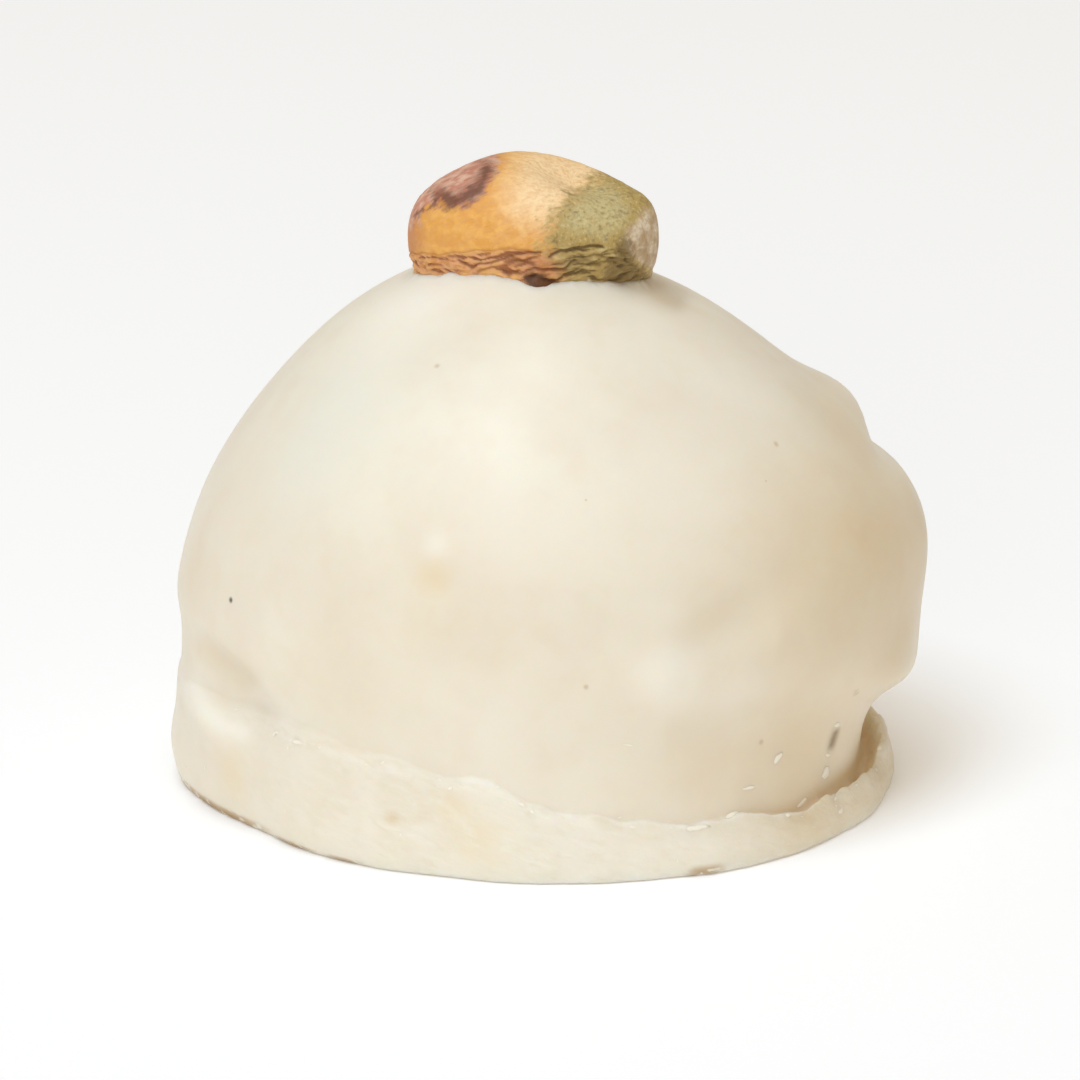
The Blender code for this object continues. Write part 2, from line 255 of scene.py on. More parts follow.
# Pale torn streaks on the foot and its crest.
PALE_STREAKS = {
    "crest_left": (((287, 740), (299, 742), (312, 744)), 2.2, 0.9),
    "crest_band": (((345, 757), (372, 764), (396, 772), (420, 781), (442, 788)), 5, 0.4),
    "ridge": (((466, 780), (487, 787), (512, 799), (530, 812), (552, 821)), 5, 0.5),
    "foot_low": (((505, 850), (528, 860), (550, 869)), 3, 0.6),
    "foot_left": (((372, 822), (392, 829), (414, 836)), 2.5, 0.4),
    "foot_middle": (((440, 800), (462, 822), (480, 850)), 3.5, 0.35),
    "crest_right": (((640, 822), (690, 828), (722, 818), (742, 815)), 2.4, 0.55),
    "lip": (((889, 748), (868, 769), (844, 788), (820, 799)), 2, 0.5),
    "wall": (((866, 714), (857, 736), (842, 764)), 8, 0.45),
}

# Brown painted low along the foot's edge on the floor: azimuth and half-width in degrees, height in metres
# and strength.
LOW_EDGE_BROWNS = (
    (200, 15, 0.00050, 1),
    (223, 5, 0.00024, 0.9),
    (234, 3.5, 0.00020, 0.8),
    (-64.5, 3, 0.00055, 0.75),
    (70, 9, 0.00016, 0.8),
    (118, 6, 0.00014, 0.8),
)

# Flakes that show in front: pixel across and down, length and width as the camera sees them and thickness,
# in millimetres, and turn in degrees.
FLAKES = {
    "oval": (826, 773, 0.6, 0.4, 0.1, 80),
    "oval_top": (828, 755, 0.24, 0.18, 0.06, 20),
    "rod": (778, 758, 0.68, 0.26, 0.08, 48),
    "bar": (749, 788, 0.6, 0.2, 0.06, 18),
    "streak": (801, 804, 1.0, 0.18, 0.05, 45),
    "crest_right": (730, 816, 0.9, 0.34, 0.08, 16),
    "crest_middle": (697, 828, 1.1, 0.26, 0.08, 4),
    "dome_fleck": (628, 745, 0.5, 0.1, 0.03, -10),
    "slot_rim": (837, 725, 0.34, 0.2, 0.06, 60),
    "left_fleck": (297, 742, 0.6, 0.16, 0.05, -5),
    "lip_chip": (841, 811, 0.3, 0.2, 0.06, 60),
}
CREST_FLAKES = 90
FOOT_CRUMBS = 24

# Zones of the kernel's skin, as outlines in pixels round them.
NUT_ZONES = {
    "peach": ((524, 140), (600, 150), (618, 180), (590, 197), (565, 220), (545, 230), (524, 222), (508, 210),
              (508, 190), (516, 166)),
    "purple": ((396, 240), (400, 190), (432, 150), (490, 132), (503, 148), (499, 170), (493, 186), (480, 200),
               (462, 211), (447, 205), (430, 208), (418, 222)),
    "blush": ((396, 215), (418, 219), (422, 232), (418, 256), (396, 264)),
    "green": ((594, 178), (612, 158), (650, 170), (672, 200), (672, 310), (600, 310), (566, 300), (556, 272),
              (549, 257), (541, 247), (546, 232), (549, 221), (559, 203), (574, 190)),
    "grey_green": ((586, 192), (606, 188), (622, 200), (630, 214), (622, 230), (604, 238), (580, 232),
                   (564, 228), (570, 208)),
    "olive": ((608, 268), (616, 256), (622, 232), (628, 242), (635, 262), (648, 276), (646, 300), (616, 300),
              (604, 284)),
    "end": ((624, 238), (632, 224), (645, 210), (672, 200), (672, 290), (652, 282), (638, 264), (627, 252)),
    "band": ((392, 255), (440, 255), (461, 254), (486, 251), (523, 249), (541, 253), (560, 247), (600, 246),
             (622, 248), (640, 262), (672, 276), (672, 320), (392, 320)),
    "rust": ((508, 262), (524, 251), (548, 256), (562, 264), (570, 275), (550, 285), (528, 280), (514, 270)),
    "knob": ((524, 277), (532, 271), (548, 274), (556, 284), (542, 296), (526, 292)),
    "smear": ((582, 287), (590, 282), (598, 286), (596, 300), (582, 300)),
}
# Dark places that follow a line over the skin: pixels along it and half-width in pixels.
NUT_STREAKS = {
    "core": (((440, 196), (452, 201), (467, 196), (477, 188), (484, 179), (487, 170)), 7),
    "tail": (((415, 216), (424, 209), (435, 203)), 2.4),
}
# Creases of the torn lower skin: pixels along each, half-width in pixels, and depth in millimetres.
NUT_CREASES = (
    (((404, 253), (430, 254), (461, 253), (486, 250), (510, 248), (532, 251)), 1.5, 0.07),
    (((457, 261), (472, 268), (480, 265), (494, 263), (511, 257), (527, 252), (541, 252)), 1.7, 0.13),
    (((478, 272), (494, 269), (507, 265), (523, 261), (540, 255)), 1.5, 0.1),
    (((502, 273), (511, 276), (523, 273), (535, 269), (549, 271), (564, 269), (576, 261)), 1.7, 0.14),
    (((527, 282), (536, 277), (554, 282), (568, 275), (584, 272)), 1.7, 0.14),
    (((549, 257), (564, 252), (576, 248), (592, 246), (604, 247)), 1.8, 0.15),
    (((553, 265), (574, 261), (594, 255), (613, 257)), 1.4, 0.09),
    (((564, 271), (584, 267), (600, 261), (617, 263)), 1.4, 0.09),
    (((619, 242), (621, 251), (627, 262), (640, 270)), 1.9, 0.06),
    (((416, 263), (436, 266), (448, 271)), 1.3, 0.06),
    (((506, 262), (520, 261), (534, 265)), 3.4, 0.12),
    (((572, 264), (586, 261), (600, 264)), 3, 0.09),
)

# A crease as deep as this, in millimetres, gets the darkest painted shade.
DEEP_CREASE = 0.14
# How far the foot's torn streaks and the kernel's folds run down to the right in front, in degrees.
STREAK_LEAN = 18.0
FOLD_LEAN = -7.0

# The heights of fine relief: torn streaks and pale streaks on the foot, and the dome's gentle unevenness.
TORN_RELIEF = 0.00006
PALE_RELIEF = 0.00005
SWELL_RELIEF = 0.00005
# The same on the kernel: its folds, how far the folded skin lies in, and its dry wrinkles.
FOLD_RELIEF = 0.00012
FOLD_INSET = 0.00004
WRINKLE_RELIEF = 0.000022
# The lap of coating against the kernel: its reach, rise and unevenness, and its further rise at the right.
LAP_REACH = 0.00040
LAP_RISE = 0.00013
LAP_UNEVENNESS = 0.00009
LAP_RISE_RIGHT = 0.00022
BARE_RADIUS = 0.0009
# How rough the foot's rim and crest are, how far the edges of the kernel's zones wander in pixels, and how
# far its folds wind up and down.
RIM_ROUGHNESS = 0.00005
CREST_ROUGHNESS = 0.00018
WANDER_PIXELS = 2.0
FOLD_WINDING = 0.00022

# Noise: its number, the size of its lumps in metres, its layers, and its stretch along X, Y and Z.
RIM_NOISE = (0, 0.0014, 3)
TORN_NOISE = (1, 0.0012, 3, (2.4, 1.6, 0.8))
SWELL_NOISE = (3, 0.0075, 2)
LAP_NOISE = (4, 0.0011, 3)
CREST_NOISE = (5, 0.0012, 3)
ACROSS_NOISE = (6, 0.0009, 3)
FOLD_NOISE = (7, 0.00022, 3, (8.0, 2.4, 1.0))
WRINKLE_NOISE = (8, 0.0006, 3)
DOWN_NOISE = (9, 0.0009, 3)
WINDING_NOISE = (10, 0.0014, 2)

# Soft square lights: azimuth from the front towards the right and elevation in degrees, power and colour.
LIGHTS = {
    "key": (-38, 62, 3, (0.82, 1, 1.22)),
    "high": (0, 88, 1.9, (0.88, 1, 1.10)),
    "front": (-10, 15, 1.35, (0.95, 1, 1.05)),
}
LIGHT_DISTANCE = 0.9
LIGHT_SIZE = 0.42
FLOOR_RADIUS = 2.5
FLOOR_GREY = 0.92
FLOOR_GLOW = 0.13
SKY_COLOUR = (1.0, 0.82, 0.60, 1.0)
SKY_STRENGTH = 0.43

SEED = 7
# What brings noise to about -1 to 1, and the shift from one of its layers to the next, in cells.
NOISE_GAIN = 1.7
LAYER_SHIFT = 17.3


def tone(red, green, blue):
    """A colour as a screen shows it, 0 to 255, made linear."""
    return tuple(Color((red / 255, green / 255, blue / 255)).from_srgb_to_scene_linear())


CREAM = tone(237, 227, 208)
PALE_CREAM = tone(241, 233, 215)
WARM_SHADE_CREAM = tone(219, 197, 151)
ROSY_CREAM = tone(223, 199, 157)
COOL_CREAM = tone(235, 231, 216)
YELLOW_CREAM = tone(236, 218, 178)
FOOT_PALE = tone(240, 233, 218)
FOOT_WAXY = tone(236, 228, 209)
FOOT_TAN = tone(224, 208, 178)
# The pale of chips and torn streaks, also used for painted highlights.
CHIP_AND_HIGHLIGHT_PALE = tone(247, 241, 228)
FLAKE_CREAM = tone(250, 244, 228)
GROOVE_SHADE_CREAM = tone(242, 222, 188)
LOW_EDGE_BROWN = tone(174, 142, 92)
SHADE_BROWN = tone(134, 106, 62)
SPECK_DARK = tone(84, 74, 58)
PINHOLE_SHADE = tone(196, 168, 130)

# The colours of the kernel.
ORANGE = tone(228, 163, 76)
AMBER = tone(239, 181, 94)
PEACH = tone(252, 219, 169)
TAN = tone(222, 166, 108)
BLUSH = tone(198, 130, 82)
PURPLE = tone(200, 134, 110)
ROSE = tone(224, 166, 132)
PINK = tone(226, 182, 156)
DARK_PURPLE = tone(114, 66, 44)
OLIVE = tone(182, 154, 94)
GREEN = tone(186, 159, 94)
GREY_GREEN = tone(202, 186, 134)
PALE_GREEN = tone(216, 200, 146)
OLIVE_DARK = tone(96, 74, 36)
BEIGE = tone(236, 221, 196)
BEIGE_DARK = tone(184, 156, 118)
RED_BROWN = tone(128, 66, 32)
RUSSET = tone(198, 134, 92)
RUST = tone(176, 112, 64)
BLACK_BROWN = tone(86, 46, 8)


def noise(points, number, size, count, stretch=(1, 1, 1)):
    """Smooth gradient noise of this number, in lumps of this size in metres, with finer layers on it."""
    draw = np.random.default_rng(SEED + number)
    order = draw.permutation(256)
    slopes = draw.normal(size=(256, 3))
    slopes /= np.linalg.norm(slopes, axis=1, keepdims=True)
    total = np.zeros(points.shape[:-1])
    for layer in range(count):
        places = points * 2.0**layer / (size * np.array(stretch)) + layer * LAYER_SHIFT
        cell = np.floor(places).astype(int)
        share = places - cell
        fade = share**3 * (share * (share * 6 - 15) + 10)
        for corner in itertools.product((0, 1), repeat=3):
            index = 0
            for axis in range(3):
                index = order[(index + cell[..., axis] + corner[axis]) & 255]
            weight = np.where(corner, fade, 1 - fade).prod(axis=-1)
            total += NOISE_GAIN * weight * ((share - corner) * slopes[index]).sum(axis=-1) / 2.0**layer
    return total


def smooth(low, high, value):
    """Goes smoothly from 0 at low to 1 at high."""
    share = np.clip((value - low) / (high - low), 0.0, 1.0)
    return share * share * (3 - 2 * share)


def around(values, azimuth):
    """A size at these azimuths, on a smooth closed curve through its values round the bonbon."""
    values = np.asarray(values)
    turn = azimuth / tau * len(values)
    first = np.floor(turn).astype(int)
    share = turn - first
    a, b, c, d = (values[(first + step) % len(values)] for step in (-1, 0, 1, 2))
    return b + 0.5 * share * (c - a + share * (2 * a - 5 * b + 4 * c - d + share * (3 * (b - c) + d - a)))


def turn_from(azimuth, degrees):
    """The turn from an azimuth in degrees to these, the short way round."""
    return (azimuth - radians(degrees) + pi) % tau - pi


def waves(table, azimuth):
    return sum(height * np.sin(count * azimuth + phase) for count, height, phase in table)


def rises(table, azimuth):
    """How far the places in a table stand out at these azimuths."""
    total = np.zeros_like(azimuth)
    for middle, half_width, height in table:
        total += height * np.exp(-((turn_from(azimuth, middle) / radians(half_width)) ** 2))
    return total


def section_controls(azimuth):
    """Control points (radius, height) of the side at each azimuth, from the flat underside to the apex."""

    def size(values):
        return around(values, azimuth)

    level = 0 * azimuth
    on_rim = np.stack([np.cos(azimuth), np.sin(azimuth), level], axis=-1) * FOOT_RADIUS[0]
    torn = noise(on_rim, *RIM_NOISE)
    rim = waves(RIM_WAVES, azimuth) + rises(EDGE_NICKS, azimuth)
    contact = size(CONTACT_RADIUS) + rim + RIM_ROUGHNESS * torn
    crest_radius = size(CREST_RADIUS) + rim
    raggedness = size(CREST_RAGGEDNESS)
    crest_z = size(CREST_Z) + rises(CREST_RISES, azimuth)
    crest_z += (waves(CREST_WAVES, azimuth) + CREST_ROUGHNESS * torn) * raggedness
    crest_rounding = size(CREST_ROUNDING)
    groove_inset = size(GROOVE_INSET)
    groove_drop = size(GROOVE_DROP)
    belly_radius = size(BELLY_RADIUS)
    belly_z = size(BELLY_Z)
    controls = [
        (contact - 4 * FOOT_EDGE_ROUNDING, level),
        (contact - 2 * FOOT_EDGE_ROUNDING, level),
        (contact - FOOT_EDGE_ROUNDING / 2, level),
        (contact, level + FOOT_EDGE_ROUNDING / 4),
        (size(FOOT_RADIUS) + rim, size(FOOT_MIDDLE_Z)),
        (crest_radius, crest_z - crest_rounding),
        (crest_radius - groove_inset / 4, crest_z + crest_rounding / 4),
        (crest_radius - groove_inset / 2, crest_z - groove_drop * OUTER_GROOVE_SHARE),
        (crest_radius - groove_inset, crest_z - groove_drop),
        (size(NECK_RADIUS), size(NECK_Z)),
        (size(OVERHANG_RADIUS), size(OVERHANG_Z)),
        (size(FLANK_RADIUS), size(FLANK_Z)),
        (belly_radius, belly_z),
    ]
    fullness = size(DOME_FULLNESS)
    for step in range(1, DOME_CONTROLS + 1):
        angle = step / DOME_CONTROLS * pi / 2
        across = cos(angle) ** (2 / fullness) if step < DOME_CONTROLS else level
        up = sin(angle) ** (2 / fullness)
        controls.append((belly_radius * across, belly_z + (APEX_Z - belly_z) * up))
    last_radius, last_z = controls[-2]
    controls.append((-last_radius, last_z))
    return np.array(controls)


def spline_rows():
    """The weight of each control in each row of the section, and the row's place counted in controls."""
    weights = []
    places = []
    count = len(SPAN_ROWS) + 3
    for first, rows in enumerate(SPAN_ROWS):
        last_span = first == len(SPAN_ROWS) - 1
        for row in range(rows + last_span):
            share = row / rows
            line = np.zeros(count)
            line[first : first + 4] = (
                (1 - share) ** 3 / 6,
                (3 * share**3 - 6 * share**2 + 4) / 6,
                (-3 * share**3 + 3 * share**2 + 3 * share + 1) / 6,
                share**3 / 6,
            )
            weights.append(line)
            places.append(first + 1 + share)
    return np.array(weights), np.array(places)


def lump_rise(azimuth, radius, z):
    """How far the lumps and hollows lift the coating at each place."""
    rise = np.zeros_like(z)
    for lump_azimuth, lump_z, half_length, half_height, tilt, lump_height in LUMPS.values():
        along = turn_from(azimuth, lump_azimuth) * radius
        up = z - lump_z
        lean = radians(tilt)
        leant = along * cos(lean) + up * sin(lean)
        risen = up * cos(lean) - along * sin(lean)
        rise += lump_height * np.exp(-((leant / half_length) ** 2) - (risen / half_height) ** 2)
    return rise


def coating_grid():
    """The smooth coating's points in rows from the underside to the apex, with their places and azimuths."""
    azimuth = np.arange(COLUMNS) * tau / COLUMNS
    weights, places = spline_rows()
    radius, z = np.einsum("rc,cka->kra", weights, section_controls(azimuth))
    run = np.gradient(radius, axis=0)
    climb = np.gradient(z, axis=0)
    length = np.hypot(run, climb)
    outward = np.stack([np.cos(azimuth), np.sin(azimuth), 0 * azimuth], axis=-1)
    upward = np.array((0.0, 0.0, 1.0))
    normal = outward * (climb / length)[..., None] - upward * (run / length)[..., None]
    belly_z = around(BELLY_Z, azimuth)
    share = smooth(0.0, 1.0, (z - belly_z) / (APEX_Z - belly_z))
    points = outward * radius[..., None] + upward * z[..., None]
    points += share[..., None] * np.array((APEX_X, APEX_Y, 0.0))
    lifted = np.where((z > 0.0) & (radius > 0.0), lump_rise(azimuth, radius, z), 0.0)
    points += normal * lifted[..., None]
    points[-1] = points[-1].mean(axis=0)
    return points, places[:, None] + 0 * azimuth, azimuth + 0 * places[:, None]


def grid_normals(points):
    """The outward normal at each point of a grid of rows that closes round its columns."""
    up = np.gradient(points, axis=0)
    side = np.roll(points, -1, axis=1) - np.roll(points, 1, axis=1)
    normal = np.cross(side, up)
    length = np.linalg.norm(normal, axis=-1, keepdims=True)
    normal = normal / np.maximum(length, 1e-12)
    normal[0] = (0.0, 0.0, -1.0)
    normal[-1] = (0.0, 0.0, 1.0)
    return normal


def grid_faces(rows, columns):
    """Quads of a grid of rows that closes round its columns, all but its last row."""
    index = np.arange((rows - 1) * columns).reshape(rows - 1, columns)
    after = np.roll(index, -1, axis=1)
    quads = np.stack([index[:-1], after[:-1], after[1:], index[1:]], axis=-1)
    return quads.reshape(-1, 4).tolist()


def fan(tip, ring):
    """Triangles from a tip to a ring that goes round it anticlockwise, seen from outside."""
    return [(tip, *edge) for edge in zip(ring, ring[1:] + ring[:1])]


def at_vertices(grid, first):
    """What a grid holds at the vertices of its mesh: the rows from this one on, then its tips."""
    rows = grid[first:-1].reshape(-1, *grid.shape[2:])
    return np.concatenate([rows, grid[:first, 0], grid[-1:, 0]])


def add_object(name, data):
    thing = bpy.data.objects.new(name, data)
    bpy.context.scene.collection.objects.link(thing)
    return thing


def add_piece(name, vertices, faces, values, material):
    """A smooth piece, with values at its vertices for the material to read by name."""
    mesh = bpy.data.meshes.new(name)
    mesh.from_pydata(vertices.tolist(), [], faces)
    mesh.shade_smooth()
    for key, value in values.items():
        attribute = mesh.attributes.new(key, "FLOAT", "POINT")
        attribute.data.foreach_set("value", value.astype(np.float32))
    mesh.materials.append(material)
    return add_object(name, mesh)


def way_out(azimuth, elevation):
    """The way out at an azimuth, from the front towards the right, and an elevation, both in degrees."""
    side, up = radians(azimuth), radians(elevation)
    return Vector((sin(side) * cos(up), -cos(side) * cos(up), sin(up)))


def camera_axes():
    """The camera's place and the directions of its right, its up and its view."""
    back = way_out(0.0, CAMERA_ELEVATION)
    right = Vector((1.0, 0.0, 0.0))
    return CAMERA_AIM + CAMERA_DISTANCE * back, right, back.cross(right), -back


def seen_at(tree, x, y):
    """The point and the normal of the surface that the camera sees at this pixel."""
    place, right, up, forward = camera_axes()
    step = VIEW_WIDTH / CAMERA_DISTANCE / FRAME_PIXELS
    middle = FRAME_PIXELS / 2
    ray = forward + right * (x - middle) * step + up * (middle - y) * step
    point, normal, _, _ = tree.ray_cast(place, ray.normalized())
    return point, normal


def in_frame(points):
    """Where the camera sees each point, in pixels across and down."""
    place, right, up, forward = (np.array(axis) for axis in camera_axes())
    offset = points - place
    scale = CAMERA_DISTANCE / VIEW_WIDTH * FRAME_PIXELS / (offset @ forward)
    middle = FRAME_PIXELS / 2
    return np.stack([middle + offset @ right * scale, middle - offset @ up * scale], axis=-1)


def line_distance(pixels, line):
    """The distance in pixels from each place to a line through these pixels."""
    ends = np.array(line, dtype=float)
    least = np.full(pixels.shape[:-1], np.inf)
    for start, end in zip(ends, ends[1:]):
        run = end - start
        share = np.clip((pixels - start) @ run / (run @ run), 0.0, 1.0)
        away = pixels - start - share[..., None] * run
        least = np.minimum(least, np.hypot(away[..., 0], away[..., 1]))
    return least


def depth_inside(pixels, outline):
    """How far each place is inside an outline, in pixels, and less than 0 outside it."""
    closed = (*outline, outline[0])
    inside = np.zeros(pixels.shape[:-1], dtype=bool)
    across, down = pixels[..., 0], pixels[..., 1]
    for (x0, y0), (x1, y1) in zip(closed, closed[1:]):
        if y0 != y1:
            edge = (x1 - x0) * (down - y0) / (y1 - y0) + x0
            inside ^= ((y0 > down) != (y1 > down)) & (across < edge)
    return np.where(inside, 1.0, -1.0) * line_distance(pixels, closed)


def glow(points, tree, places):
    """How strongly each point belongs to these places, given by pixel, radius and strength."""
    total = np.zeros(points.shape[:-1])
    for x, y, radius, strength in places.values():
        middle, _ = seen_at(tree, x, y)
        away = np.linalg.norm(points - np.array(middle), axis=-1) / MM
        total += strength * np.exp(-((away / radius) ** 2))
    return total


def glow_behind(points, azimuth, places):
    """The same for places given by azimuth and height."""
    total = np.zeros(points.shape[:-1])
    x, y, z = np.moveaxis(points / MM, -1, 0)
    for degrees, height, radius, strength in places.values():
        along = turn_from(azimuth, degrees) * np.hypot(x, y)
        total += strength * np.exp(-((along / radius) ** 2) - ((z - height) / radius) ** 2)
    return total


def streaks(points, normals, table):
    """How strongly each point that faces the camera belongs to these streaks."""
    pixels = in_frame(points)
    towards = np.array(camera_axes()[0]) - points
    facing = smooth(0.0, 0.05, (normals * towards).sum(axis=-1) / np.linalg.norm(towards, axis=-1))
    total = np.zeros(points.shape[:-1])
    for line, half_width, strength in table.values():
        total = np.maximum(total, strength * np.exp(-((line_distance(pixels, line) / half_width) ** 2)))
    return total * facing


def nut_lap(points, place, nut_tree):
    """How far the coating laps up against the kernel, in uneven little tongues."""
    lap = np.zeros(points.shape[:-1])
    for row in np.flatnonzero(place[:, 0] > SHOULDER_PLACE):
        for column in range(points.shape[1]):
            _, _, _, away = nut_tree.find_nearest(Vector(points[row, column]), 5 * LAP_REACH)
            if away is not None:
                lap[row, column] = np.exp(-((away / LAP_REACH) ** 2))
    knob = np.linalg.norm(points - np.array(KNOB_PLACE), axis=-1)
    bare = np.exp(-((knob / BARE_RADIUS) ** 2))
    at_right = smooth(0.0034, 0.0052, points[..., 0])
    rise = LAP_RISE + LAP_UNEVENNESS * noise(points, *LAP_NOISE) + LAP_RISE_RIGHT * at_right
    return lap * rise * (1 - bare)


def leaning(points, degrees):
    """The points turned about Y, so that what is stretched along X runs down to the right in front."""
    turn = radians(degrees)
    x, y, z = np.moveaxis(points, -1, 0)
    across = x * cos(turn) - z * sin(turn)
    return np.stack([across, y, x * sin(turn) + z * cos(turn)], axis=-1)


def make_coating(nut_tree):
    points, place, azimuth = coating_grid()
    normals = grid_normals(points)
    rows, columns = place.shape
    faces = grid_faces(rows, columns)
    tree = BVHTree.FromPolygons(points.reshape(-1, 3).tolist(), faces)

    ragged_place = place + 0.5 * noise(points, *CREST_NOISE)
    on_foot = (1 - smooth(FOOT_TOP, DOME_START, ragged_place)) * around(FOOT_TEXTURE, azimuth)
    off_floor = smooth(0.0, FOOT_EDGE_ROUNDING, points[..., 2])
    torn = noise(leaning(points, STREAK_LEAN), *TORN_NOISE)
    pale = streaks(points, normals, PALE_STREAKS)
    relief = (on_foot * TORN_RELIEF * torn + PALE_RELIEF * pale) * off_floor
    relief += (1 - on_foot) * SWELL_RELIEF * noise(points, *SWELL_NOISE)
    relief += nut_lap(points, place, nut_tree) + glow(points, tree, DENTS) * MM
    points = points + normals * relief[..., None]
    points[..., 2] = np.maximum(points[..., 2], 0.0)
    points[-1] = points[-1].mean(axis=0)

    # Where the groove behind the crest gets a painted warm tint of shade.
    groove = smooth(CREST_PLACE + 0.3, CREST_PLACE + 1.2, place)
    groove *= 1 - smooth(NECK_PLACE - 0.4, FLANK_PLACE, place)
    groove *= smooth(0.0003, 0.0014, around(GROOVE_INSET, azimuth))
    crest = np.exp(-(((place - CREST_PLACE) / 0.35) ** 2)) * around(CREST_RAGGEDNESS, azimuth)
    low_edge_brown = np.zeros(points.shape[:-1])
    for degrees, half_width, height, strength in LOW_EDGE_BROWNS:
        along = turn_from(azimuth, degrees) / radians(half_width)
        low = 1 - smooth(0.5 * height, 1.3 * height, points[..., 2])
        low_edge_brown = np.maximum(low_edge_brown, strength * np.exp(-(along**4)) * low)

    # Painted warm shade, in front and at the back.
    warm_shade = glow(points, tree, WARM_SHADE_PLACES) + glow_behind(points, azimuth, WARM_SHADE_PLACES_BEHIND)
    values = {
        "foot": on_foot,
        "groove_shade": groove,
        "low_edge_brown": low_edge_brown,
        "pale": np.maximum(pale, 0.45 * crest),
        "warm_shade": np.maximum(warm_shade, streaks(points, normals, WARM_SHADE_STREAKS)),
        # Painted shade in the slot and a pit, and the kernel's painted shadow.
        "painted_shade_brown": streaks(points, normals, SHADE_BROWN_STREAKS),
        "cool": glow(points, tree, COOL_PLACES),
        # Painted light and highlights.
        "painted_light": np.maximum(glow(points, tree, PAINTED_LIGHT_PLACES), streaks(points, normals, PAINTED_LIGHT_STREAKS)),
        "yellow": glow(points, tree, YELLOW_PLACES),
    }
    values = {name: at_vertices(value, 0) for name, value in values.items()}
    vertices = at_vertices(points, 0)
    apex = (rows - 1) * columns
    faces += fan(apex, list(range(apex - columns, apex)))
    faces.append(list(range(columns))[::-1])
    tree = BVHTree.FromPolygons(vertices.tolist(), faces)
    marks = (DARK_SPECKS, PINHOLES)
    specks = [[(seen_at(tree, x, y)[0], size * MM) for x, y, size in table.values()] for table in marks]
    piece = add_piece("coating_chocolate", vertices, faces, values, chocolate_paint(*specks))
    crest_row = np.argmin(np.abs(place[:, 0] - CREST_PLACE))
    return piece, tree, points[crest_row]


def on_surface(normal, seen):
    """The way along the surface that the camera sees as this one, at most three times as long."""
    forward = camera_axes()[3]
    along = seen - forward * seen.dot(normal) / forward.dot(normal)
    return along * min(1.0, 3.0 * seen.length / along.length)


def add_chip(bm, point, normal, along, across, thickness, draw):
    """One thin chip with uneven edges, lying along and across the surface here, clear of the floor."""
    made = bmesh.ops.create_icosphere(bm, subdivisions=2, radius=0.5)
    wobble = [draw.uniform(0.0, tau) for _ in range(4)]
    for vertex in made["verts"]:
        x, y, z = vertex.co
        turn = atan2(y, x)
        ragged = 1 + 0.18 * sin(2 * turn + wobble[0]) + 0.14 * sin(3 * turn + wobble[1])
        ragged += 0.10 * sin(5 * turn + wobble[2])
        bend = 0.5 * x * sin(wobble[3])
        place = point + along * x * ragged + across * y * ragged + normal * (z + bend - 0.05) * thickness
        place.z = max(place.z, 0.0)
        vertex.co = place


def make_crumbs(tree, crest, material):
    """Flakes and crumbs of chocolate on the foot: those that show in front, and small ones all round."""
    draw = random.Random(SEED)
    bm = bmesh.new()
    _, right, up, _ = camera_axes()
    for x, y, length, width, thickness, degrees in FLAKES.values():
        point, normal = seen_at(tree, x, y)
        lean = radians(degrees)
        along = on_surface(normal, (right * cos(lean) + up * sin(lean)) * length * MM)
        across = on_surface(normal, (up * cos(lean) - right * sin(lean)) * width * MM)
        add_chip(bm, point, normal, along, across, thickness * MM, draw)
    for _ in range(CREST_FLAKES):
        column = draw.randrange(COLUMNS)
        if draw.random() > float(around(CREST_RAGGEDNESS, column / COLUMNS * tau)) - 0.2:
            continue
        point = Vector(crest[column]) + Vector([draw.gauss(0.0, 0.00020) for _ in range(3)])
        point, normal, _, _ = tree.find_nearest(point)
        tangent = Vector(crest[(column + 1) % COLUMNS]) - Vector(crest[column - 1])
        tangent += Vector((0.0, 0.0, draw.gauss(0.0, 0.35) * tangent.length))
        along = tangent.normalized() * draw.uniform(0.10, 0.42) * MM
        across = normal.cross(along) * draw.uniform(0.3, 0.6)
        add_chip(bm, point, normal, along, across, 0.06 * MM, draw)
    for _ in range(FOOT_CRUMBS):
        column = draw.randrange(COLUMNS)
        point = Vector(crest[column])
        point.z *= draw.uniform(0.15, 0.95)
        point, normal, _, _ = tree.find_nearest(point)
        any_way = Vector((draw.gauss(0.0, 1.0), draw.gauss(0.0, 1.0), draw.gauss(0.0, 0.5)))
        along = normal.cross(any_way).normalized() * draw.uniform(0.08, 0.22) * MM
        across = normal.cross(along) * draw.uniform(0.4, 0.8)
        add_chip(bm, point, normal, along, across, 0.05 * MM, draw)
    mesh = bpy.data.meshes.new("chocolate_flakes")
    bm.to_mesh(mesh)
    bm.free()
    mesh.shade_smooth()
    mesh.materials.append(material)
    return add_object("chocolate_flakes", mesh)


def nut_rise(direction):
    """How far the kernel's skin stands out of its ellipsoid in these directions from its middle."""
    rise = np.zeros(direction.shape[:-1])
    for middle, spread, height in NUT_LUMPS.values():
        away = ((direction - np.array(middle)) ** 2).sum(axis=-1)
        rise += height * np.exp(-away / spread**2)
    return rise


